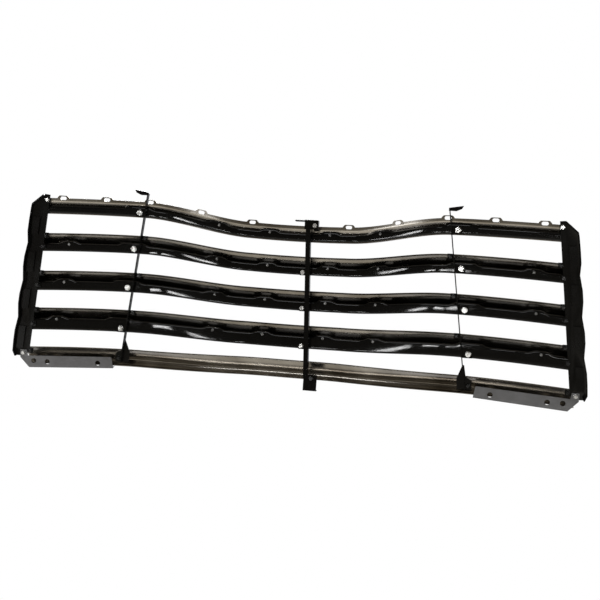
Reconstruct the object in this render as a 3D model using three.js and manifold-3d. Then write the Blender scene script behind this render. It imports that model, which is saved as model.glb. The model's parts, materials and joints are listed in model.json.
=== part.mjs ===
// Rear-mounted five-bar front grille for a light truck: pressed chrome bars, black inner bars,
// two end supports, two upright braces, a centre support and lower mounting brackets.
// Millimetres. +Z is up, the grille faces -Y, X is the width. The origin is the middle of the
// upright flange along the top bar, where the grille bolts to the panel above it.
import * as THREE from 'three';
import Module from 'manifold-3d';

const wasm = await Module();
wasm.setup();

// Overall sizes.
const HALF_WIDTH = 600;          // half the length of the top bar
const END_SPREAD = 0.11;         // how far the ends move outward for each mm downward
const BAR_COUNT = 5;
const LEVEL_CENTRE = [0, -70, -147.5, -226, -306];    // top edge of each bar on the centre plane
const LEVEL_SHOULDER = [4, -68, -148, -229, -315];    // and where its wing begins
const LEVEL_END = [-4, -80, -162, -243, -330];        // and at its end
const BULGE = 90;                // the middle stands this far ahead of the wings, at the top
const SHOULDER_X = 350;          // where the curve meets the wing
const CROWN_X = 110;             // half the length of the nearly straight middle
const CROWN_DROP = 5;
const WING_SWEEP = 0.07;         // wings run rearward by this much for each mm outward
const LEAN_CENTRE = 0.229;       // rearward lean of the face, for each mm upward
const LEAN_WING = 0.44;

// Sheet sizes.
const BAR_SHEET = 1.8;
const INNER_SHEET = 1.4;
const PLATE = 2.5;
const GAP = 0.3;
const BAR_HEIGHT = [37, 39, 41, 44, 42];
const INNER_DROP = [34, 42, 46, 53];    // lower edge of each inner bar below its chrome bar's top
const INNER_TOP = [-17, -23, -24, -25];  // where each inner bar leaves the chrome wall
const BRACE_ROW = [-25, -31, -34.5, -44];      // rows of bolts through the inner bars
const SUPPORT_ROW = [0, -31, -33, -38];
const BAR_DEPTH = 24.5;
const FLANGE_HEIGHT = 7.5;
const EAR_X = [114, 228, 339, 441.5, 545];
const EAR_WIDTH = 30;
const EAR_RISE = 6;
const SLOT_LENGTH = 15;
const SLOT_WIDTH = 8;
const STEPS = 28;                // lengthwise steps of a bar, most of them in its curves

// Fasteners.
const BOLT_FLATS = 11;
const BOLT_HEAD = 4.5;
const SHANK = 3;
const HOLE = 3.5;

// Uprights.
const BRACE_TOP_X = 345;
const BRACE_SPREAD = 0.16;
const BRACE_DEPTH = 12;
const SUPPORT_INNER_X = HALF_WIDTH - 24.5;
const SUPPORT_SPREAD = 0.145;
const SUPPORT_WIDTH = 38;
const CENTRE_X = -20.5;           // web of the centre support
const CENTRE_SPREAD = 0.056;
const CENTRE_DEPTH = 16;
const LUG_OFFSET = 14;

const CHROME = { color: 0x8a857c, roughness: 0.12, metalness: 1 };
const BLACK = { color: 0x0b0b0c, roughness: 0.22, metalness: 0.1 };
const GREY = { color: 0x6f6f70, roughness: 0.4, metalness: 0.8 };
const ZINC = { color: 0xc9c9c6, roughness: 0.28, metalness: 1 };

const grille = new THREE.Group();
grille.name = 'front_grille';

// ---- solids ----

function toManifold(geometry) {
  const position = geometry.getAttribute('position');
  const index = geometry.getIndex();
  const count = index ? index.count : position.count;
  const lookup = new Map();
  const vertices = [];
  const triangles = [];
  for (let i = 0; i < count; i += 1) {
    const v = index ? index.getX(i) : i;
    const p = [position.getX(v), position.getY(v), position.getZ(v)];
    const key = p.map((c) => Math.round(c * 1e4)).join(',');
    if (!lookup.has(key)) {
      lookup.set(key, vertices.length / 3);
      vertices.push(...p);
    }
    triangles.push(lookup.get(key));
  }
  const kept = [];
  for (let i = 0; i < triangles.length; i += 3) {
    const [a, b, c] = triangles.slice(i, i + 3);
    if (a !== b && b !== c && c !== a) kept.push(a, b, c);
  }
  const mesh = new wasm.Mesh({
    numProp: 3,
    vertProperties: new Float32Array(vertices),
    triVerts: new Uint32Array(kept),
  });
  mesh.merge();
  return new wasm.Manifold(mesh);
}

function toGeometry(solid) {
  const mesh = solid.getMesh();
  const geometry = new THREE.BufferGeometry();
  const points = new Float32Array(mesh.numVert * 3);
  for (let v = 0; v < mesh.numVert; v += 1) {
    for (let k = 0; k < 3; k += 1) points[v * 3 + k] = mesh.vertProperties[v * mesh.numProp + k];
  }
  geometry.setAttribute('position', new THREE.BufferAttribute(points, 3));
  geometry.setIndex(new THREE.BufferAttribute(new Uint32Array(mesh.triVerts), 1));
  geometry.computeVertexNormals();
  return geometry;
}

function addPart(name, solid, look) {
  const mesh = new THREE.Mesh(toGeometry(solid), new THREE.MeshStandardMaterial(look));
  mesh.name = name;
  grille.add(mesh);
}

function mirrored(solid) {
  return solid.mirror([1, 0, 0]);
}

function polygon(points) {
  return new THREE.Shape(points.map(([x, y]) => new THREE.Vector2(x, y)));
}

function roundHole(shape, x, y, radius, sides = 12) {
  const points = [];
  for (let i = 0; i < sides; i += 1) {
    const angle = (i / sides) * Math.PI * 2;
    points.push(new THREE.Vector2(x + radius * Math.cos(angle), y + radius * Math.sin(angle)));
  }
  shape.holes.push(new THREE.Path(points));
}

function extrude(shape, depth, steps = 1) {
  return new THREE.ExtrudeGeometry(shape, { depth, steps, bevelEnabled: false, curveSegments: 6 });
}

// ---- the face that every bar and upright lies on ----

function ease(value, low, high) {
  const t = Math.min(1, Math.max(0, (value - low) / (high - low)));
  return t * t * (3 - 2 * t);
}

function lean(x) {
  return LEAN_CENTRE + (LEAN_WING - LEAN_CENTRE) * ease(Math.abs(x), CROWN_X, SHOULDER_X);
}

function plan(x) {
  const a = Math.abs(x);
  const crown = CROWN_DROP * Math.min(1, a / CROWN_X) ** 2;
  const curve = (BULGE - CROWN_DROP) * ease(a, CROWN_X, SHOULDER_X);
  return crown + curve + WING_SWEEP * Math.max(0, a - SHOULDER_X);
}

function onFace(x, z) {
  return new THREE.Vector3(x, plan(x) + lean(x) * z, z);
}

function barHalfLength(bar) {
  return HALF_WIDTH - END_SPREAD * LEVEL_END[bar];
}

function barLevel(bar, x) {
  const a = Math.abs(x);
  const middle = LEVEL_CENTRE[bar];
  const shoulder = LEVEL_SHOULDER[bar];
  const out = Math.max(0, a - SHOULDER_X) / (barHalfLength(bar) - SHOULDER_X);
  return middle + (shoulder - middle) * ease(a, 40, SHOULDER_X)
    + (LEVEL_END[bar] - shoulder) * out ** 1.5;
}

// A frame on a bar's top rear edge: along the bar, up the face, and rearward out of the face.
function barFrame(bar, x) {
  const origin = onFace(x, barLevel(bar, x));
  const ahead = onFace(x + 1, barLevel(bar, x + 1)).sub(onFace(x - 1, barLevel(bar, x - 1)));
  const along = new THREE.Vector3(ahead.x, ahead.y, 0).normalize();
  const level = new THREE.Vector3(-along.y, along.x, 0);
  const angle = Math.atan(lean(x));
  const up = level.clone().multiplyScalar(Math.sin(angle)).setZ(Math.cos(angle));
  const out = level.clone().multiplyScalar(Math.cos(angle)).setZ(-Math.sin(angle));
  return { origin, along, up, out };
}

function barPoint(bar, x, r, q) {
  const { origin, up, out } = barFrame(bar, x);
  return origin.clone().addScaledVector(out, r).addScaledVector(up, q);
}

// A strip of sheet: the middle line of its section, thickened both ways.
function stripShape(line, thickness) {
  const normals = [];
  for (let i = 0; i < line.length - 1; i += 1) {
    const dx = line[i + 1][0] - line[i][0];
    const dy = line[i + 1][1] - line[i][1];
    const length = Math.hypot(dx, dy);
    normals.push([-dy / length, dx / length]);
  }
  const side = (sign) => line.map(([x, y], i) => {
    const a = normals[Math.max(0, i - 1)];
    const b = normals[Math.min(normals.length - 1, i)];
    const mx = a[0] + b[0];
    const my = a[1] + b[1];
    const scale = (sign * thickness) / (mx * a[0] + my * a[1]) / 2;
    return [x + mx * scale, y + my * scale];
  });
  return polygon([...side(1), ...side(-1).reverse()]);
}

// Where each lengthwise step falls: few in the wings, most in the curves.
function station(t, halfLength) {
  const knots = [[0, -halfLength], [3 / 28, -SHOULDER_X - 10], [11 / 28, 5 - CROWN_X],
    [17 / 28, CROWN_X - 5], [25 / 28, SHOULDER_X + 10], [1, halfLength]];
  const i = Math.max(1, knots.findIndex(([k]) => k >= t - 1e-6));
  const [t0, x0] = knots[i - 1];
  const [t1, x1] = knots[i];
  return x0 + ((x1 - x0) * (t - t0)) / (t1 - t0);
}

// The section runs along X first and is then bent onto the bar's path.
function sweepBar(bar, line, thickness, halfLength) {
  const geometry = extrude(stripShape(line, thickness), halfLength * 2, STEPS);
  const position = geometry.getAttribute('position');
  for (let i = 0; i < position.count; i += 1) {
    const x = station(position.getZ(i) / (2 * halfLength), halfLength);
    const p = barPoint(bar, x, position.getX(i), position.getY(i));
    position.setXYZ(i, p.x, p.y, p.z);
  }
  return toManifold(geometry);
}

function outerLine(bar) {
  const h = BAR_HEIGHT[bar];
  const d = BAR_DEPTH;
  const t = BAR_SHEET / 2;
  if (bar === 0) {
    const f = FLANGE_HEIGHT;
    return [[-t, 0], [-t, -f], [-d * 0.13, -f - 3], [-d * 0.3, -f - 9.5],
      [-d * 0.8, -h * 0.62], [-d, -h * 0.74], [-d * 0.55, t - h], [-3, t - h]];
  }
  return [[0, -t], [-d * 0.12, -t - 0.5], [-d * 0.34, -10], [-d * 0.6, -18],
    [-d, -h * 0.66], [-d * 0.86, -h * 0.84], [-d * 0.5, t - h], [-2, t - h]];
}

// How far back the chrome wall stands at a height on its section, and how much it slopes there.
function wallAt(bar, q) {
  const line = outerLine(bar);
  const i = line.findIndex((p, k) => k > 2 && p[1] <= q);
  const [r0, q0] = line[i - 1];
  const [r1, q1] = line[i];
  const slope = (r1 - r0) / (q1 - q0);
  return { r: r0 + slope * (q - q0), slope };
}

// An inner bar: a shelf from the chrome wall, a rear face, and a short return below it.
function innerLine(bar) {
  const top = INNER_TOP[bar];
  const drop = INNER_DROP[bar];
  const back = INNER_SHEET / 2 + GAP;
  const { r, slope } = wallAt(bar, top);
  const clear = (BAR_SHEET / 2) * Math.hypot(1, slope) + GAP + (INNER_SHEET / 2) * Math.abs(slope);
  return [[r + clear, top], [-3, top - 1.5], [back, top - 3.5], [back, 2 - drop],
    [back - 2, -drop], [-7, -drop]];
}

// ---- placing small pieces ----

// Moves a solid built about its own origin (x along, y up the face, z rearward).
function moveTo(solid, { along, up, out, at }) {
  return solid.transform([along.x, along.y, along.z, 0, up.x, up.y, up.z, 0,
    out.x, out.y, out.z, 0, at.x, at.y, at.z, 1]);
}

function placeOnBar(solid, bar, x, r, q) {
  return moveTo(solid, { ...barFrame(bar, x), at: barPoint(bar, x, r, q) });
}

// A hexagon-headed bolt with a washer under its head: z = 0 is the seat, the shank runs to -z.
function bolt(shankLength, flats = BOLT_FLATS) {
  const corner = flats / 2 / Math.cos(Math.PI / 6);
  const head = new THREE.CylinderGeometry(corner * 0.86, corner, BOLT_HEAD, 6);
  head.rotateX(Math.PI / 2).translate(0, 0, 1.2 + BOLT_HEAD / 2);
  const washer = new THREE.CylinderGeometry(corner + 0.3, corner + 0.3, 1.2, 10);
  washer.rotateX(Math.PI / 2).translate(0, 0, 0.6);
  const shank = new THREE.CylinderGeometry(SHANK, SHANK, shankLength + 1, 6);
  shank.rotateX(Math.PI / 2).translate(0, 0, (1 - shankLength) / 2);
  return toManifold(head).add(toManifold(washer)).add(toManifold(shank));
}

function drill(depth, radius = HOLE) {
  const tool = new THREE.CylinderGeometry(radius, radius, depth * 2, 8);
  tool.rotateX(Math.PI / 2);
  return toManifold(tool);
}

// A flat plate on the wing's plane, from corners given by their X and Z on the face.
function wingFrame() {
  const origin = onFace(600, 0);
  const along = new THREE.Vector3(1, WING_SWEEP, 0).normalize();
  const slope = new THREE.Vector3(0, LEAN_WING, 1);
  const up = slope.clone().addScaledVector(along, -slope.dot(along)).normalize();
  const out = along.clone().cross(up).normalize();
  if (out.y < 0) out.negate();
  return { origin, along, up, out };
}

const WING = wingFrame();

function wingUV(x, z) {
  const p = onFace(x, z).sub(WING.origin);
  return [p.dot(WING.along), p.dot(WING.up)];
}

function wingPlate(corners, from, thickness, holes = []) {
  const shape = polygon(corners.map(([x, z]) => wingUV(x, z)));
  holes.forEach(([x, z, radius]) => roundHole(shape, ...wingUV(x, z), radius));
  return placeOnWing(toManifold(extrude(shape, thickness)), 600, 0, from);
}

function placeOnWing(solid, x, z, r) {
  return moveTo(solid, { ...WING, at: onFace(x, z).addScaledVector(WING.out, r) });
}

function union(solids) {
  return solids.reduce((sum, next) => sum.add(next));
}

// ---- bars ----

const outerBars = [];
const innerBars = [];
for (let bar = 0; bar < BAR_COUNT; bar += 1) {
  outerBars.push(sweepBar(bar, outerLine(bar), BAR_SHEET, barHalfLength(bar)));
  if (bar < BAR_COUNT - 1) {
    innerBars.push(sweepBar(bar, innerLine(bar), INNER_SHEET, barHalfLength(bar) - 4));
  }
}

// Ears with oval slots, raised along the flange of the top bar.
function ear() {
  const w = EAR_WIDTH / 2;
  const shape = polygon([[-w, -5], [w, -5], [w - 5, EAR_RISE], [5 - w, EAR_RISE]]);
  const slot = [];
  const run = (SLOT_LENGTH - SLOT_WIDTH) / 2;
  for (let i = 0; i < 12; i += 1) {
    const angle = (i / 12) * Math.PI * 2 + Math.PI / 12;
    const side = Math.cos(angle) > 0 ? run : -run;
    slot.push(new THREE.Vector2(side + (SLOT_WIDTH / 2) * Math.cos(angle),
      (SLOT_WIDTH / 2) * Math.sin(angle)));
  }
  return { plate: toManifold(extrude(shape, BAR_SHEET)), slot: toManifold(extrude(new THREE.Shape(slot), 30)) };
}

for (const x of EAR_X) {
  for (const side of [-1, 1]) {
    const { plate, slot } = ear();
    outerBars[0] = outerBars[0].add(placeOnBar(plate, 0, side * x, -BAR_SHEET, 0))
      .subtract(placeOnBar(slot, 0, side * x, -8, 0));
  }
}

const rearFace = INNER_SHEET + GAP;      // rear faces of the inner bars
const seat = rearFace + GAP;             // front faces of what bolts onto them
const THROUGH = PLATE + 2.6;             // a shank through a lug and an inner bar

function block(x0, x1, y0, y1, z0, z1) {
  const box = new THREE.BoxGeometry(x1 - x0, y1 - y0, z1 - z0);
  box.translate((x0 + x1) / 2, (y0 + y1) / 2, (z0 + z1) / 2);
  return toManifold(box);
}

// An upright strip that stands rearward from the face and leans with it.
function upright(xAt, zTop, zBottom, near, depth, left, right) {
  const shape = polygon([[near, 0], [near + depth, 0], [near + depth, 1], [near, 1]]);
  const geometry = extrude(shape, right - left);
  const position = geometry.getAttribute('position');
  for (let i = 0; i < position.count; i += 1) {
    const z = zBottom + (zTop - zBottom) * position.getY(i);
    const x = xAt(z);
    const angle = Math.atan(lean(x));
    const p = onFace(x, z);
    const offset = position.getX(i);
    position.setXYZ(i, x + left + position.getZ(i), p.y + offset * Math.cos(angle),
      z - offset * Math.sin(angle));
  }
  return toManifold(geometry);
}

// ---- braces: a thin web, a hook above the top bar, a lug for each bar and a foot ----

const braceX = (z) => BRACE_TOP_X - BRACE_SPREAD * z;
const braceAtBar = (bar, q) => braceX(barLevel(bar, BRACE_TOP_X + 20) + q * 0.92);
const BRACE_BOTTOM = LEVEL_SHOULDER[4] - 29;
const HOOK_Z = 22;
const HOOK_REACH = 31;
const hookX = BRACE_TOP_X - BRACE_SPREAD * HOOK_Z;

const braceBolts = [];
const braceParts = [
  upright(braceX, HOOK_Z, BRACE_BOTTOM, seat, BRACE_DEPTH, -PLATE / 2, PLATE / 2),
  wingPlate([[hookX - 1, HOOK_Z - 3], [hookX - 1, HOOK_Z + 3], [hookX + HOOK_REACH, HOOK_Z + 7.5],
    [hookX + HOOK_REACH - 4, HOOK_Z + 1], [hookX + HOOK_REACH / 2, HOOK_Z - 3.5]],
  seat + BRACE_DEPTH - PLATE - 1, PLATE),
];
const holes = [];
for (let bar = 0; bar < BAR_COUNT - 1; bar += 1) {
  const x = braceAtBar(bar, BRACE_ROW[bar]) + LUG_OFFSET;
  const lug = block(-LUG_OFFSET, 9, -9, 9, 0, PLATE);
  braceParts.push(placeOnBar(lug, bar, x, seat, BRACE_ROW[bar]));
  holes.push(placeOnBar(drill(12), bar, x, seat, BRACE_ROW[bar]));
  braceBolts.push(placeOnBar(bolt(THROUGH), bar, x, seat + PLATE, BRACE_ROW[bar]));
}
const earBolts = [];
for (let bar = 1; bar < BAR_COUNT - 1; bar += 1) {
  const x = braceAtBar(bar, -5) - 7.5;
  braceParts.push(placeOnBar(block(-6, 7.5, -7, 6, 0, PLATE), bar, x, seat, -5));
  earBolts.push(placeOnBar(bolt(PLATE + 1, 7), bar, x, seat + PLATE, -5));
  holes.push(placeOnBar(drill(8), bar, x, seat, -5));
}
const footTop = LEVEL_SHOULDER[4] + 1;
const footX = braceX(footTop);
braceParts.push(wingPlate([[footX - 3, footTop + 20], [footX + 1, footTop + 20],
  [footX + 6, footTop - 4], [footX + 20, footTop - 12], [footX + 20, BRACE_BOTTOM],
  [footX - 12, BRACE_BOTTOM], [footX - 14, footTop - 8]], GAP, seat + 1 - GAP));
const footBoltX = braceX(BRACE_BOTTOM + 8) + 8.5;
const footBolt = placeOnWing(bolt(PLATE + 1, 8), footBoltX, BRACE_BOTTOM + 8, seat + 1);
holes.push(placeOnWing(drill(8), footBoltX, BRACE_BOTTOM + 8, seat));

const brace = holes.reduce((solid, hole) => solid.subtract(hole), union(braceParts));

// ---- end supports: a web behind the bar ends, an outer flange, pressed pads and bolts ----

const supportX = (z) => SUPPORT_INNER_X - SUPPORT_SPREAD * z;
const SUPPORT_BOTTOM = LEVEL_END[4] - 20;
const outerEdge = [];
for (let bar = 0; bar < BAR_COUNT; bar += 1) {
  const last = bar === BAR_COUNT - 1;
  const z = LEVEL_END[bar] - (last ? 9 : 20);
  outerEdge.push([supportX(z) + SUPPORT_WIDTH - (bar === 0 || last ? 0 : 3), z]);
  if (bar < BAR_COUNT - 1) {
    outerEdge.push([supportX(z - 30) + SUPPORT_WIDTH + 1, z - 30]);
    outerEdge.push([supportX(z - 52) + SUPPORT_WIDTH + 1, z - 52]);
  }
}
const lastEdge = outerEdge[outerEdge.length - 1];
const outline = [[supportX(4), 4], [supportX(5) + 13, 5], [supportX(-16) + SUPPORT_WIDTH - 1, -16],
  ...outerEdge, [lastEdge[0] - 5, SUPPORT_BOTTOM], [supportX(SUPPORT_BOTTOM) + 8, SUPPORT_BOTTOM],
  [supportX(SUPPORT_BOTTOM) - 1, SUPPORT_BOTTOM + 12]];
const supportParts = [wingPlate(outline, seat, PLATE)];
const rim = outline.slice(1, -2);
const rimInside = rim.map(([x, z], i) => [x - 2.5, z - (i < 2 ? 2.5 : 0)]).reverse();
supportParts.push(wingPlate([...rim, ...rimInside], seat + 0.5, 12));
for (let bar = 0; bar < BAR_COUNT - 1; bar += 1) {
  const z0 = LEVEL_END[bar] - 40;
  const z1 = LEVEL_END[bar + 1] - 2;
  supportParts.push(wingPlate([[supportX(z0) + 16, z0], [supportX(z0) + 32, z0],
    [supportX(z1) + 32, z1], [supportX(z1) + 16, z1]], seat + 1, 5));
}
const supportHoles = [];
const supportBolts = [];
for (let bar = 0; bar < BAR_COUNT; bar += 1) {
  const z = LEVEL_END[bar] - (bar === 4 ? 7 : 3);
  const x = supportX(z) + (bar === 0 ? 5 : -3);
  supportParts.push(wingPlate([[x - 6, z + 6], [x + 6, z + 6], [x + 6, z - 6], [x - 6, z - 6]],
    seat, PLATE));
  supportHoles.push(placeOnWing(drill(8, 3.3), x, z, seat));
  supportBolts.push(placeOnWing(bolt(PLATE + 1, bar === 0 ? 8 : 7), x, z, seat + PLATE));
}
const lowerBolts = [];
for (let bar = 1; bar < BAR_COUNT - 1; bar += 1) {
  const x = supportX(LEVEL_END[bar] - 28) + 1;
  supportParts.push(placeOnBar(block(-7, 8, -6, 6, 0.2, PLATE), bar, x, seat, SUPPORT_ROW[bar]));
  supportHoles.push(placeOnBar(drill(8), bar, x, seat, SUPPORT_ROW[bar]));
  lowerBolts.push(placeOnBar(bolt(THROUGH + 0.6, 8), bar, x, seat + PLATE + 0.6, SUPPORT_ROW[bar]));
}

// ---- lower brackets: a drilled plate behind each end of the bottom bar ----

const PLATE_R = seat + PLATE + GAP;
const BRACKET_IN = HALF_WIDTH - 180;     // its inner end, outer end and the tab under the support
const BRACKET_OUT = HALF_WIDTH + 24;
const TAB_OUT = HALF_WIDTH + 46;
const LAST = BAR_COUNT - 1;
const underBar = (x0, drop0, x1, drop1) => (x) => {
  const z0 = barLevel(LAST, x0) - drop0;
  return z0 + ((barLevel(LAST, x1) - drop1 - z0) * (x - x0)) / (x1 - x0);
};
const bracketTop = underBar(BRACKET_IN, 19.6, BRACKET_OUT, 19.4);
const bracketLow = underBar(BRACKET_IN, BAR_HEIGHT[LAST] + 0.4, BRACKET_OUT, BAR_HEIGHT[LAST] + 3.2);
const bracketCorners = [[BRACKET_IN + 4, bracketTop(BRACKET_IN + 4)],
  [BRACKET_IN + 7, bracketTop(BRACKET_IN + 7) + 1.5], [BRACKET_OUT + 4, bracketTop(BRACKET_OUT + 4)],
  [BRACKET_OUT + 6, LEVEL_END[4] - 6], [TAB_OUT, LEVEL_END[4] - 6], [TAB_OUT, SUPPORT_BOTTOM - 3],
  [BRACKET_OUT, bracketLow(BRACKET_OUT)], [BRACKET_IN, bracketLow(BRACKET_IN)]];
const bracketHoles = [[BRACKET_IN + 37, 0.46], [BRACKET_IN + 160, 0.5], [BRACKET_OUT - 11, 0.58]]
  .map(([x, k]) => [x, bracketTop(x) * k + bracketLow(x) * (1 - k), 6.2]);
const lipIn = BRACKET_IN + 1;
const lipOut = BRACKET_OUT - 1;
const lip = [[lipIn, bracketLow(lipIn)], [lipOut, bracketLow(lipOut)],
  [lipOut, bracketLow(lipOut) + 1.8], [lipIn, bracketLow(lipIn) + 1.8]];
const fixX = HALF_WIDTH + 38;
const fixZ = SUPPORT_BOTTOM + 7.5;
const bracket = union([wingPlate(bracketCorners, PLATE_R, PLATE, bracketHoles),
  wingPlate(lip, -9, PLATE_R + 9.5)]).subtract(placeOnWing(drill(12), fixX, fixZ, PLATE_R));
supportHoles.push(placeOnWing(drill(8), fixX, fixZ, seat));
const bracketBolt = placeOnWing(bolt(PLATE * 2 + 1, 8), fixX, fixZ, PLATE_R + PLATE);
const support = supportHoles.reduce((solid, hole) => solid.subtract(hole), union(supportParts));

// ---- centre support: an upright channel with a lug for each inner bar ----

const centreX = (z) => CENTRE_X + CENTRE_SPREAD * z;
const CENTRE_TOP = 6;
const CENTRE_BOTTOM = LEVEL_CENTRE[4] - 38;
const centreParts = [
  upright(centreX, CENTRE_TOP, CENTRE_BOTTOM, seat, CENTRE_DEPTH, -5.5, -3.5),
  upright(centreX, CENTRE_TOP, CENTRE_BOTTOM, seat, CENTRE_DEPTH, 3.5, 5.5),
  upright(centreX, CENTRE_TOP, CENTRE_BOTTOM, seat + CENTRE_DEPTH - 2, 2, -5.5, 5.5),
];
const centreHoles = [];
const centreBolts = [];
for (let bar = 1; bar < BAR_COUNT - 1; bar += 1) {
  const x = centreX(LEVEL_CENTRE[bar] - 40) + 13;
  const q = 6 - INNER_DROP[bar];
  centreParts.push(placeOnBar(block(-9.5, 6, -8, 5, 0, PLATE), bar, x, seat, q));
  centreHoles.push(placeOnBar(drill(8), bar, x, seat, q - 1));
  centreBolts.push(placeOnBar(bolt(THROUGH, 9), bar, x, seat + PLATE, q - 1));
}
const centreSolid = centreHoles.reduce((solid, hole) => solid.subtract(hole), union(centreParts));

function onCentre(solid, x, z) {
  const angle = Math.atan(LEAN_CENTRE);
  return moveTo(solid, {
    along: new THREE.Vector3(1, 0, 0),
    up: new THREE.Vector3(0, Math.sin(angle), Math.cos(angle)),
    out: new THREE.Vector3(0, Math.cos(angle), -Math.sin(angle)),
    at: onFace(x, z),
  });
}

// Cap over the top of the centre support, with a thin tab to one side.
const capX = CENTRE_X - 6;
const cap = union([
  block(-18, 14, -22, 0, seat + CENTRE_DEPTH + GAP, seat + CENTRE_DEPTH + GAP + PLATE),
  block(-18, 37, -3.5, -1, 4, seat + CENTRE_DEPTH + 1),
  block(-18, -15.5, -22, 0, seat + 2, seat + CENTRE_DEPTH + 1),
  block(-21, -8, -24, -21, seat + 2, seat + CENTRE_DEPTH + GAP + PLATE),
]).subtract(drill(8).translate(-10, -13, seat + CENTRE_DEPTH + 2));
const capPlaced = onCentre(cap, capX, CENTRE_TOP + 6);
const capBolt = onCentre(bolt(PLATE + 3, 9).translate(-10, -13, seat + CENTRE_DEPTH + GAP + PLATE),
  capX, CENTRE_TOP + 6);

// Foot: a plate beside the support's lower end with a turned-out flange under it.
const footAt = centreX(CENTRE_BOTTOM);
const footDepth = seat + CENTRE_DEPTH + GAP;
const foot = union([
  block(-27, 4, -28, 9, footDepth, footDepth + PLATE),
  block(-27, 4, -28, -28 + PLATE, footDepth - 14, footDepth + PLATE),
]).subtract(drill(8).translate(-14, 1, footDepth));
const footPlaced = onCentre(foot, footAt, CENTRE_BOTTOM);
const centreFootBolt = onCentre(bolt(PLATE + 3, 9).translate(-14, 1, footDepth + PLATE),
  footAt, CENTRE_BOTTOM);

// ---- holes through the inner bars, then every part is named ----

const boltHoles = [...holes, ...supportHoles];
for (let bar = 0; bar < BAR_COUNT - 1; bar += 1) {
  const tools = [...boltHoles, ...boltHoles.map(mirrored), ...centreHoles];
  innerBars[bar] = tools.reduce((solid, tool) => solid.subtract(tool), innerBars[bar]);
}

outerBars.forEach((solid, i) => addPart(`outer_bar_${i + 1}`, solid, CHROME));
innerBars.forEach((solid, i) => addPart(`inner_bar_${i + 1}`, solid, BLACK));
for (const [side, place] of [['left', (s) => s], ['right', mirrored]]) {
  addPart(`end_support_${side}`, place(support), BLACK);
  addPart(`brace_${side}`, place(brace), BLACK);
  addPart(`lower_bracket_${side}`, place(bracket), GREY);
  braceBolts.forEach((s, i) => addPart(`brace_bolt_${side}_${i + 1}`, place(s), ZINC));
  earBolts.forEach((s, i) => addPart(`brace_lip_bolt_${side}_${i + 2}`, place(s), BLACK));
  addPart(`brace_foot_bolt_${side}`, place(footBolt), BLACK);
  supportBolts.forEach((s, i) => addPart(`support_bolt_${side}_${i + 1}`, place(s), i ? BLACK : ZINC));
  lowerBolts.forEach((s, i) => addPart(`support_lower_bolt_${side}_${i + 2}`, place(s), BLACK));
  addPart(`bracket_bolt_${side}`, place(bracketBolt), ZINC);
}
addPart('center_support', centreSolid, BLACK);
addPart('center_top_bracket', capPlaced, BLACK);
addPart('center_foot_bracket', footPlaced, BLACK);
centreBolts.forEach((s, i) => addPart(`center_bolt_${i + 2}`, s, ZINC));
addPart('center_top_bolt', capBolt, ZINC);
addPart('center_foot_bolt', centreFootBolt, BLACK);

export default grille;
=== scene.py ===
import json
import math

import bmesh
import bpy
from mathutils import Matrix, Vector

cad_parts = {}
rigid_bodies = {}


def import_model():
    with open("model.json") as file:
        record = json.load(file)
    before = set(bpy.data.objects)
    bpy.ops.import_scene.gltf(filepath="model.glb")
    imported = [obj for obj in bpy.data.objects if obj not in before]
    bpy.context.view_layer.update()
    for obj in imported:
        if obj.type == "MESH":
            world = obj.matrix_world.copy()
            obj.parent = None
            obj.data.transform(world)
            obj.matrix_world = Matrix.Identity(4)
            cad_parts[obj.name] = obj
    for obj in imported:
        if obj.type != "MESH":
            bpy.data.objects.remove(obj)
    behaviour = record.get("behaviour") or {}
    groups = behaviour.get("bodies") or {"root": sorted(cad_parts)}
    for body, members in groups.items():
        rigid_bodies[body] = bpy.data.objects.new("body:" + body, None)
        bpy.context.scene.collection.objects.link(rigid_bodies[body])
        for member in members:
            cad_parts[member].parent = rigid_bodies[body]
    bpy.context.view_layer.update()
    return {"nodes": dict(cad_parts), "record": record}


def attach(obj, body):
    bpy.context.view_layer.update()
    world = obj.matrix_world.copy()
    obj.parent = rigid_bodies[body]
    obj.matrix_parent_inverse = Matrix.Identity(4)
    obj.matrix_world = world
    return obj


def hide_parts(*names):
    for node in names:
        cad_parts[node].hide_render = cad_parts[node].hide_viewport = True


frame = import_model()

# A front grille seen from behind. Lengths below are in millimetres until they become vertices.

MM = 0.001

# ---- the face that all the bars lie on ----

HALF_WIDTH = 600
END_SPREAD = 0.11
LEVEL_CENTRE = [0, -70, -147.5, -226, -306]
LEVEL_SHOULDER = [4, -68, -148, -229, -315]
LEVEL_END = [-4, -80, -162, -243, -330]
BULGE = 90
CROWN_X = 110
CROWN_DROP = 5
SHOULDER_X = 350
WING_SWEEP = 0.07
LEAN_CENTRE = 0.229
LEAN_WING = 0.44

# ---- the pressed sections ----

BAR_SHEET = 1.8
INNER_SHEET = 1.4
GAP = 0.3
BAR_DEPTH = 24.5
BAR_HEIGHT = [37, 39, 41, 44, 42]
INNER_DROP = [34, 42, 46, 53]
INNER_TOP = [-17, -23, -24, -25]
FLANGE_HEIGHT = 7.5
EAR_X = [114, 228, 339, 441.5, 545]
EAR_WIDTH = 30
EAR_RISE = 6
SLOT_LENGTH = 15
SLOT_WIDTH = 8
STATIONS = 150

# ---- raised seats for rivets along each inner bar ----

SEAT_RISE = 5.5
SEAT_HALF = 13
SEAT_RAMP = 13
RIVET_X = [71, 187]
END_RIVET_X = [None, 530, 541, 559]
BRACE_SEAT_X = [366, 378, 391, 407]


def ease(value, low, high):
    t = min(1, max(0, (value - low) / (high - low)))
    return t * t * (3 - 2 * t)


def lean(x):
    return LEAN_CENTRE + (LEAN_WING - LEAN_CENTRE) * ease(abs(x), CROWN_X, SHOULDER_X)


def plan(x):
    a = abs(x)
    crown = CROWN_DROP * min(1, a / CROWN_X) ** 2
    curve = (BULGE - CROWN_DROP) * ease(a, CROWN_X, SHOULDER_X)
    return crown + curve + WING_SWEEP * max(0, a - SHOULDER_X)


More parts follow.
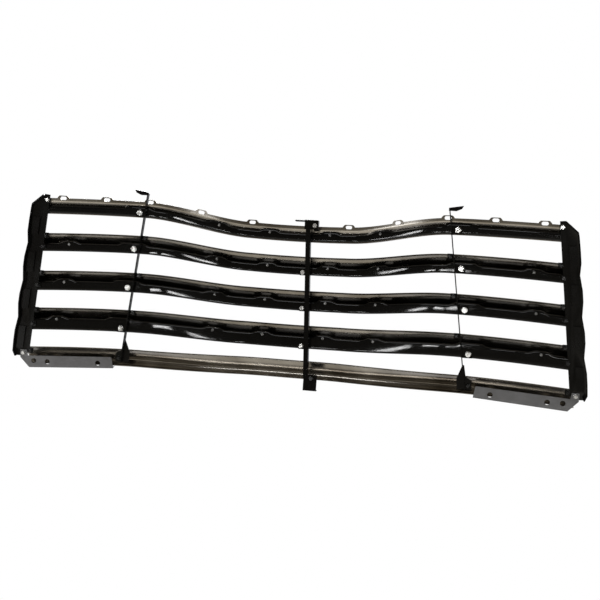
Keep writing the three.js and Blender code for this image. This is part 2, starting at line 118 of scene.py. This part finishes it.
def on_face(x, z):
    return Vector((x, plan(x) + lean(x) * z, z))


def half_length(bar):
    return HALF_WIDTH - END_SPREAD * LEVEL_END[bar]


def bar_level(bar, x):
    a = abs(x)
    middle, shoulder = LEVEL_CENTRE[bar], LEVEL_SHOULDER[bar]
    out = max(0, a - SHOULDER_X) / (half_length(bar) - SHOULDER_X)
    return middle + (shoulder - middle) * ease(a, 40, SHOULDER_X) + (LEVEL_END[bar] - shoulder) * out ** 1.5


def bar_frame(bar, x):
    """A place on a bar's top rear edge, with the directions along it, up the face and rearward."""
    ahead = on_face(x + 1, bar_level(bar, x + 1)) - on_face(x - 1, bar_level(bar, x - 1))
    along = Vector((ahead.x, ahead.y, 0)).normalized()
    level = Vector((-along.y, along.x, 0))
    angle = math.atan(lean(x))
    up = level * math.sin(angle) + Vector((0, 0, math.cos(angle)))
    out = level * math.cos(angle) - Vector((0, 0, math.sin(angle)))
    return on_face(x, bar_level(bar, x)), along, up, out


def bar_point(bar, x, r, q):
    origin, _, up, out = bar_frame(bar, x)
    return (origin + out * r + up * q) * MM


# ---- sections: the middle line of the sheet, as (rearward, up) ----

def outer_line(bar):
    h, d, t = BAR_HEIGHT[bar], BAR_DEPTH, BAR_SHEET / 2
    if bar == 0:
        f = FLANGE_HEIGHT
        return [(-t, 0), (-t, -f), (-d * 0.13, -f - 3), (-d * 0.3, -f - 9.5),
                (-d * 0.8, -h * 0.62), (-d, -h * 0.74), (-d * 0.55, t - h), (-3, t - h)]
    return [(0, -t), (-d * 0.12, -t - 0.5), (-d * 0.34, -10), (-d * 0.6, -18),
            (-d, -h * 0.66), (-d * 0.86, -h * 0.84), (-d * 0.5, t - h), (-2, t - h)]


def wall_at(bar, q):
    """How far back the chrome wall stands at a height on its section, and its slope there."""
    line = outer_line(bar)
    i = next(k for k in range(2, len(line)) if line[k][1] <= q)
    (r0, q0), (r1, q1) = line[i - 1], line[i]
    slope = (r1 - r0) / (q1 - q0)
    return r0 + slope * (q - q0), slope


def seats(bar):
    """Each raised seat as (middle, half its flat length)."""
    found = [(side * x, SEAT_HALF) for x in RIVET_X for side in (-1, 1)]
    found += [(side * BRACE_SEAT_X[bar], 24) for side in (-1, 1)]
    if END_RIVET_X[bar]:
        found += [(side * END_RIVET_X[bar], SEAT_HALF) for side in (-1, 1)]
    return found


def seat_rise(bar, x):
    """How far the top of an inner bar is raised at x."""
    return SEAT_RISE * max(1 - ease(abs(x - m), half, half + SEAT_RAMP) for m, half in seats(bar))


def inner_line(bar, x):
    top = INNER_TOP[bar] + seat_rise(bar, x)
    drop = INNER_DROP[bar]
    back = INNER_SHEET / 2 + GAP
    r, slope = wall_at(bar, top)
    clear = BAR_SHEET / 2 * math.hypot(1, slope) + GAP + INNER_SHEET / 2 * abs(slope)
    return [(r + clear, top), (-3, top - 1.5), (back, top - 3.5), (back, 2 - drop),
            (back - 2, -drop), (-7, -drop)]


def rounded(line, radius, steps=4):
    """The line with each of its corners turned into a short curve."""
    points = [Vector(line[0])]
    for before, here, after in zip(line, line[1:], line[2:]):
        before, here, after = Vector(before), Vector(here), Vector(after)
        a = here + (before - here).normalized() * min(radius, (before - here).length * 0.45)
        b = here + (after - here).normalized() * min(radius, (after - here).length * 0.45)
        for i in range(steps + 1):
            t = i / steps
            points.append(a * (1 - t) ** 2 + here * 2 * t * (1 - t) + b * t * t)
    return points + [Vector(line[-1])]


def both_sides(line, thickness):
    """The two faces of a sheet whose middle line is given: the rear side, then the front side."""
    normals = []
    for a, b in zip(line, line[1:]):
        d = (b - a).normalized()
        normals.append(Vector((-d.y, d.x)))
    rear, front = [], []
    for i, p in enumerate(line):
        n = (normals[max(0, i - 1)] + normals[min(len(normals) - 1, i)]).normalized()
        rear.append(p + n * thickness / 2)
        front.append(p - n * thickness / 2)
    return rear, front


# ---- turning meshes into pieces of the model ----

def finish_mesh(bm, name, sharp=38):
    bmesh.ops.recalc_face_normals(bm, faces=bm.faces)
    mesh = bpy.data.meshes.new(name)
    bm.to_mesh(mesh)
    bm.free()
    mesh.shade_smooth()
    mesh.set_sharp_from_angle(angle=math.radians(sharp))
    obj = bpy.data.objects.new(name, mesh)
    bpy.context.scene.collection.objects.link(obj)
    return obj


def add_piece(obj, materials, nodes=()):
    obj.data.materials.clear()
    for material in materials:
        obj.data.materials.append(material)
    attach(obj, "root")
    if nodes:
        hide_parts(*nodes)
    return obj


def sweep(name, bar, line_at, thickness, length, radius):
    """A sheet of section line_at(x), run along a bar. Its front side uses the second material."""
    bm = bmesh.new()
    rings = []
    for i in range(STATIONS + 1):
        x = length * (2 * i / STATIONS - 1)
        rear, front = both_sides(rounded(line_at(x), radius), thickness)
        rings.append([[bm.verts.new(bar_point(bar, x, *p)) for p in side] for side in (rear, front)])
    for here, ahead in zip(rings, rings[1:]):
        for side in (0, 1):
            a, b = here[side], ahead[side]
            for k in range(len(a) - 1):
                bm.faces.new((a[k], a[k + 1], b[k + 1], b[k])).material_index = side
        for k in (0, -1):
            bm.faces.new((here[0][k], here[1][k], ahead[1][k], ahead[0][k]))
    for rear, front in (rings[0], rings[-1]):
        for k in range(len(rear) - 1):
            bm.faces.new((rear[k], rear[k + 1], front[k + 1], front[k]))
    return finish_mesh(bm, name)


def outline_solid(points, place, near, far):
    """A plate from an outline of (along, up) points: place(along, up, out) gives each vertex."""
    bm = bmesh.new()
    low = [bm.verts.new(place(x, y, near)) for x, y in points]
    high = [bm.verts.new(place(x, y, far)) for x, y in points]
    bm.faces.new(low)
    bm.faces.new(list(reversed(high)))
    for i in range(len(points)):
        j = (i + 1) % len(points)
        bm.faces.new((low[i], low[j], high[j], high[i]))
    bmesh.ops.triangulate(bm, faces=[f for f in bm.faces if len(f.verts) > 4])
    return bm


def combine(obj, other, operation):
    """Joins another solid to obj, or cuts it away, and removes it."""
    cut = obj.modifiers.new("cut", "BOOLEAN")
    cut.operation = operation
    cut.solver = "EXACT"
    cut.object = other
    graph = bpy.context.evaluated_depsgraph_get()
    mesh = bpy.data.meshes.new_from_object(obj.evaluated_get(graph))
    obj.modifiers.clear()
    obj.data = mesh
    bpy.data.objects.remove(other)


def refined(node, width, material, sharp=30):
    """A CAD node's own shape, with its edges broken as a press or a paint film leaves them."""
    bm = bmesh.new()
    bm.from_mesh(frame["nodes"][node].data)
    bmesh.ops.remove_doubles(bm, verts=bm.verts, dist=0.00001)
    bmesh.ops.dissolve_limit(bm, angle_limit=math.radians(1.0), verts=bm.verts, edges=bm.edges)
    obj = finish_mesh(bm, "shaped_" + node, sharp)
    bevel = obj.modifiers.new("edges", "BEVEL")
    bevel.width = width * MM
    bevel.segments = 2
    bevel.limit_method = "ANGLE"
    bevel.angle_limit = math.radians(35)
    bevel.harden_normals = True
    return add_piece(obj, [material], [node])


# ---- materials ----

class Nodes:
    """A short way to write a node material."""

    def __init__(self, name, **sockets):
        self.material = bpy.data.materials.new(name)
        self.material.use_nodes = True
        self.tree = self.material.node_tree
        self.shader = self.tree.nodes["Principled BSDF"]
        for key, value in sockets.items():
            self.shader.inputs[key.replace("_", " ")].default_value = value
        self.place = self.add("ShaderNodeTexCoord").outputs["Object"]

    def add(self, kind, **values):
        node = self.tree.nodes.new(kind)
        for key, value in values.items():
            setattr(node, key, value)
        return node

    def link(self, a, b):
        self.tree.links.new(a, b)

    def noise(self, scale, stretch=(1, 1, 1), detail=4, distortion=0):
        mapping = self.add("ShaderNodeMapping")
        mapping.inputs["Scale"].default_value = stretch
        noise = self.add("ShaderNodeTexNoise")
        noise.inputs["Scale"].default_value = scale
        noise.inputs["Detail"].default_value = detail
        noise.inputs["Distortion"].default_value = distortion
        self.link(self.place, mapping.inputs["Vector"])
        self.link(mapping.outputs["Vector"], noise.inputs["Vector"])
        return noise.outputs["Fac"]

    def ramp(self, value, low, high, first, second):
        ramp = self.add("ShaderNodeValToRGB")
        ramp.color_ramp.elements[0].position = low
        ramp.color_ramp.elements[1].position = high
        ramp.color_ramp.elements[0].color = (*first, 1)
        ramp.color_ramp.elements[1].color = (*second, 1)
        self.link(value, ramp.inputs["Fac"])
        return ramp.outputs["Color"]

    def span(self, value, low, high, first, second):
        span = self.add("ShaderNodeMapRange")
        for key, number in zip(("From Min", "From Max", "To Min", "To Max"), (low, high, first, second)):
            span.inputs[key].default_value = number
        self.link(value, span.inputs["Value"])
        return span.outputs["Result"]

    def bump(self, height, strength, distance, under=None):
        bump = self.add("ShaderNodeBump")
        bump.inputs["Strength"].default_value = strength
        bump.inputs["Distance"].default_value = distance
        self.link(height, bump.inputs["Height"])
        if under:
            self.link(under, bump.inputs["Normal"])
        return bump.outputs["Normal"]

    def use(self, value, socket):
        self.link(value, self.shader.inputs[socket])


def bright_chrome():
    n = Nodes("bright_chrome", Metallic=1.0)
    smudge = n.noise(9, (1, 1, 2), 6)
    n.use(n.ramp(smudge, 0.35, 0.75, (0.80, 0.81, 0.82), (0.70, 0.71, 0.72)), "Base Color")
    n.use(n.span(smudge, 0.4, 0.8, 0.035, 0.12), "Roughness")
    n.use(n.bump(n.noise(26, (0.3, 1, 1), 3), 0.06, 0.0006), "Normal")
    return n.material


def thin_chrome():
    """The brownish flash of chrome inside a pressed bar, streaked along it by the press."""
    n = Nodes("thin_chrome", Metallic=1.0)
    streak = n.noise(60, (0.06, 1, 1), 6)
    blotch = n.noise(7, (1, 1.5, 2), 5, 0.6)
    mix = n.add("ShaderNodeMath", operation="MULTIPLY_ADD")
    n.link(streak, mix.inputs[0])
    mix.inputs[1].default_value = 0.4
    n.link(blotch, mix.inputs[2])
    n.use(n.ramp(mix.outputs[0], 0.45, 0.9, (0.24, 0.215, 0.18), (0.62, 0.59, 0.545)), "Base Color")
    n.use(n.span(blotch, 0.3, 0.75, 0.17, 0.30), "Roughness")
    wave = n.bump(n.noise(10, (0.6, 1, 1), 1), 0.08, 0.002)
    n.use(n.bump(streak, 0.03, 0.0003, wave), "Normal")
    return n.material


def enamel(name, shade, rough, ripple):
    """Black enamel: gloss with a slight ripple, thinner and duller in places."""
    n = Nodes(name, IOR=1.36)
    haze = n.noise(14, (1, 1, 1), 6)
    n.use(n.ramp(haze, 0.35, 0.8, (shade,) * 3, (shade * 1.9, shade * 1.85, shade * 1.8)), "Base Color")
    n.use(n.span(haze, 0.3, 0.8, rough, rough * 2.2), "Roughness")
    wave = n.bump(n.noise(38, (0.4, 1, 1), 1), ripple, 0.0008)
    n.use(n.bump(n.noise(700, (1, 1, 1), 1), 0.02, 0.00005, wave), "Normal")
    return n.material


def plated(name, low, high, rough, metallic):
    """Satin or zinc plate: fine grain, dull stains and rubbed bright spots."""
    n = Nodes(name, Metallic=metallic)
    stain = n.noise(30, (1, 1, 1), 8)
    grain = n.noise(700, (0.08, 1, 1), 3)
    n.use(n.ramp(stain, 0.3, 0.75, low, high), "Base Color")
    n.use(n.span(stain, 0.3, 0.8, rough, rough * 1.6), "Roughness")
    n.use(n.bump(grain, 0.12, 0.0002), "Normal")
    return n.material


CHROME = bright_chrome()
THIN = thin_chrome()
INNER = enamel("inner_enamel", 0.0012, 0.05, 0.11)
FRAME = enamel("frame_enamel", 0.0018, 0.16, 0.12)
DARK_BOLT = enamel("bolt_enamel", 0.005, 0.2, 0.1)
GREY = plated("grey_plate", (0.15, 0.15, 0.154), (0.22, 0.22, 0.224), 0.4, 0.35)
RIVET = plated("rivet_plate", (0.10, 0.10, 0.10), (0.22, 0.22, 0.215), 0.3, 0.9)
ZINC = plated("zinc_plate", (0.55, 0.55, 0.54), (0.75, 0.75, 0.73), 0.24, 0.9)


# ---- bars ----

def ear_outline():
    """An ear with sloped sides and softened corners."""
    w = EAR_WIDTH / 2
    return rounded([(-w, -5), (-w, 0), (-w + 5, EAR_RISE), (w - 5, EAR_RISE), (w, 0), (w, -5)], 2.5)


def slot_outline():
    run = (SLOT_LENGTH - SLOT_WIDTH) / 2
    points = []
    for i in range(24):
        angle = 2 * math.pi * (i + 0.5) / 24
        side = run if math.cos(angle) > 0 else -run
        points.append((side + SLOT_WIDTH / 2 * math.cos(angle), SLOT_WIDTH / 2 * math.sin(angle)))
    return points


def placed_on_bar(bar, x0):
    origin, along, up, out = bar_frame(bar, x0)
    return lambda x, y, r: (origin + along * x + up * y + out * r) * MM


for bar in range(5):
    obj = sweep(f"pressed_bar_{bar + 1}", bar, lambda x: outer_line(bar), BAR_SHEET, half_length(bar), 6)
    if bar == 0:
        for x in EAR_X:
            for side in (-1, 1):
                place = placed_on_bar(bar, side * x)
                solid = outline_solid(ear_outline(), place, -BAR_SHEET, 0)
                combine(obj, finish_mesh(solid, "ear"), "UNION")
                solid = outline_solid(slot_outline(), place, -8, 20)
                combine(obj, finish_mesh(solid, "slot"), "DIFFERENCE")
        obj.data.shade_smooth()
        obj.data.set_sharp_from_angle(angle=math.radians(38))
    add_piece(obj, [THIN, CHROME], [f"outer_bar_{bar + 1}"])

for bar in range(4):
    obj = sweep(f"backing_bar_{bar + 1}", bar, lambda x: inner_line(bar, x), INNER_SHEET,
                half_length(bar) - 4, 2.2)
    add_piece(obj, [INNER, INNER], [f"inner_bar_{bar + 1}"])


def rivets(bar):
    """Low domed rivet heads on the raised seats of an inner bar."""
    bm = bmesh.new()
    spots = [side * x for x in RIVET_X for side in (-1, 1)]
    if END_RIVET_X[bar]:
        spots += [side * END_RIVET_X[bar] for side in (-1, 1)]
    for x in spots:
        place = placed_on_bar(bar, x)
        q = INNER_TOP[bar] + SEAT_RISE - 8
        rings = []
        for k, (radius, height) in enumerate([(3.6, -0.6), (3.6, 0.4), (3.2, 1.2), (2.2, 1.8), (1.0, 2.1)]):
            angles = [2 * math.pi * i / 20 for i in range(20)]
            base = INNER_SHEET + GAP
            rings.append([bm.verts.new(place(radius * math.cos(a), q + radius * math.sin(a), base + height))
                          for a in angles])
        for a, b in zip(rings, rings[1:]):
            for i in range(20):
                j = (i + 1) % 20
                bm.faces.new((a[i], a[j], b[j], b[i]))
        bm.faces.new(rings[0])
        bm.faces.new(rings[-1])
    return finish_mesh(bm, f"rivets_{bar + 1}")


for bar in range(4):
    add_piece(rivets(bar), [RIVET])

# ---- everything else keeps its CAD shape, with its edges broken ----

LOOKS = {
    "frame_black": (FRAME, 0.5),
    "bracket_grey": (GREY, 0.5),
    "bolt_zinc": (ZINC, 0.35),
    "bolt_black": (DARK_BOLT, 0.35),
}
for sub in frame["record"]["subparts"]:
    if sub["material_slot"] in LOOKS:
        material, width = LOOKS[sub["material_slot"]]
        refined(sub["node"], width, material)


# ---- studio ----

def floor(level, size):
    bm = bmesh.new()
    bmesh.ops.create_grid(bm, x_segments=1, y_segments=1, size=size)
    obj = finish_mesh(bm, "floor")
    obj.location.z = level
    n = Nodes("floor", Roughness=0.9)
    n.use(n.ramp(n.noise(3), 0.3, 0.7, (0.86, 0.86, 0.86), (0.9, 0.9, 0.9)), "Base Color")
    obj.data.materials.append(n.material)
    obj.visible_glossy = False


def soft_light(name, at, target, size, power):
    data = bpy.data.lights.new(name, "AREA")
    data.shape = "RECTANGLE"
    data.size, data.size_y = size
    data.energy = power
    obj = bpy.data.objects.new(name, data)
    obj.location = at
    obj.rotation_euler = (Vector(target) - Vector(at)).to_track_quat("-Z", "Y").to_euler()
    obj.visible_camera = False
    bpy.context.scene.collection.objects.link(obj)


def gridded_light(name, at, target, size, strength, catching):
    """A softbox of small bright cells, reflected only by the pieces in the collection catching."""
    bm = bmesh.new()
    bmesh.ops.create_grid(bm, x_segments=1, y_segments=1, size=0.5)
    obj = finish_mesh(bm, name)
    obj.scale = (*size, 1)
    obj.location = at
    obj.rotation_euler = (Vector(target) - Vector(at)).to_track_quat("Z", "Y").to_euler()
    n = Nodes(name)
    cells = n.add("ShaderNodeTexBrick", offset=0.35)
    for key, value in (("Color1", (1, 1, 1, 1)), ("Color2", (0.45, 0.45, 0.45, 1)), ("Mortar", (0, 0, 0, 1)),
                       ("Scale", 1), ("Brick Width", 0.15), ("Row Height", 0.34), ("Mortar Size", 0.03)):
        cells.inputs[key].default_value = value
    n.link(n.place, cells.inputs["Vector"])
    n.use(cells.outputs["Color"], "Emission Color")
    n.shader.inputs["Emission Strength"].default_value = strength
    n.shader.inputs["Base Color"].default_value = (0, 0, 0, 1)
    obj.data.materials.append(n.material)
    obj.visible_camera = False
    obj.visible_shadow = False
    obj.light_linking.receiver_collection = catching


def world():
    """White behind the object, and a darker room for its reflections: dim behind, bright in front."""
    room = bpy.data.worlds.new("studio")
    bpy.context.scene.world = room
    room.use_nodes = True
    tree = room.node_tree
    new = tree.nodes.new
    back = tree.nodes["Background"]
    place = new("ShaderNodeTexCoord")
    split = new("ShaderNodeSeparateXYZ")
    tree.links.new(place.outputs["Generated"], split.inputs["Vector"])

    def ramp(value, stops):
        node = new("ShaderNodeValToRGB")
        while len(node.color_ramp.elements) < len(stops):
            node.color_ramp.elements.new(0.5)
        for element, (position, color) in zip(node.color_ramp.elements, stops):
            element.position, element.color = position, (*color, 1)
        tree.links.new(value, node.inputs["Fac"])
        return node.outputs["Color"]

    def half(value):
        node = new("ShaderNodeMath")
        node.operation = "MULTIPLY_ADD"
        node.inputs[1].default_value = node.inputs[2].default_value = 0.5
        tree.links.new(value, node.inputs[0])
        return node.outputs[0]

    def mix(amount, a, b):
        node = new("ShaderNodeMix")
        node.data_type = "RGBA"
        tree.links.new(amount, node.inputs["Factor"])
        for value, socket in ((a, node.inputs[6]), (b, node.inputs[7])):
            if isinstance(value, tuple):
                socket.default_value = value
            else:
                tree.links.new(value, socket)
        return node.outputs[2]

    height = half(split.outputs["Z"])
    behind = ramp(height, [
        (0.0, (0.42, 0.40, 0.35)), (0.07, (0.80, 0.75, 0.66)), (0.15, (0.56, 0.52, 0.445)),
        (0.21, (0.17, 0.155, 0.125)), (0.33, (0.16, 0.148, 0.125)), (0.45, (0.12, 0.105, 0.08)),
        (0.51, (0.07, 0.06, 0.045)), (0.8, (0.08, 0.076, 0.07)), (1.0, (0.4, 0.4, 0.4))])
    ahead = ramp(height, [(0.0, (0.55, 0.55, 0.56)), (0.40, (0.42, 0.42, 0.43)), (0.485, (0.05, 0.05, 0.055)),
                          (0.53, (0.30, 0.31, 0.33)), (0.66, (0.75, 0.77, 0.8)), (1.0, (1.0, 1.0, 1.0))])
    side = ramp(half(split.outputs["Y"]), [(0.42, (0, 0, 0)), (0.52, (1, 1, 1))])
    seen = mix(side, ahead, behind)
    ray = new("ShaderNodeLightPath")
    tree.links.new(mix(ray.outputs["Is Camera Ray"], seen, (1, 1, 1, 1)), back.inputs["Color"])


def camera():
    data = bpy.data.cameras.new("camera")
    data.lens = 55.335
    data.sensor_width = 36
    obj = bpy.data.objects.new("camera", data)
    obj.location = (-0.34055, 2.01063, -0.72628)
    obj.rotation_euler = [math.radians(a) for a in (105.1149, -6.0351, -172.5024)]
    bpy.context.scene.collection.objects.link(obj)
    bpy.context.scene.camera = obj


world()
floor(-1.1, 1.5)
catching = bpy.data.collections.new("lit_by_grids")
for obj in bpy.data.objects:
    if obj.name.startswith(("backing_bar", "rivets")) or "bolt" in obj.name:
        catching.objects.link(obj)
soft_light("low_left", (1.55, 0.95, -0.98), (-0.2, 0, -0.15), (0.8, 0.8), 5)
soft_light("low_right", (-1.35, 1.35, -1.02), (0.2, 0, -0.15), (0.8, 0.8), 5)
soft_light("rear_top", (0.3, 2.6, 2.2), (0, 0, -0.15), (1.8, 1.0), 35)
soft_light("front_key", (0.8, -2.4, 2.0), (0, 0, -0.15), (1.6, 1.0), 70)
gridded_light("grid_left_high", (-0.81, 1.81, -0.83), (0.22, 0.02, -0.08), (0.42, 0.15), 60, catching)
gridded_light("grid_left_low", (-0.04, 1.55, -1.04), (0.235, -0.02, -0.2), (0.34, 0.13), 60, catching)
gridded_light("grid_right_high", (1.37, 1.41, -0.63), (-0.26, 0.04, -0.06), (0.40, 0.17), 60, catching)
gridded_light("grid_right_low", (0.465, 1.43, -1.0), (-0.27, -0.015, -0.22), (0.34, 0.13), 60, catching)
camera()
bpy.context.scene.view_settings.view_transform = "Standard"
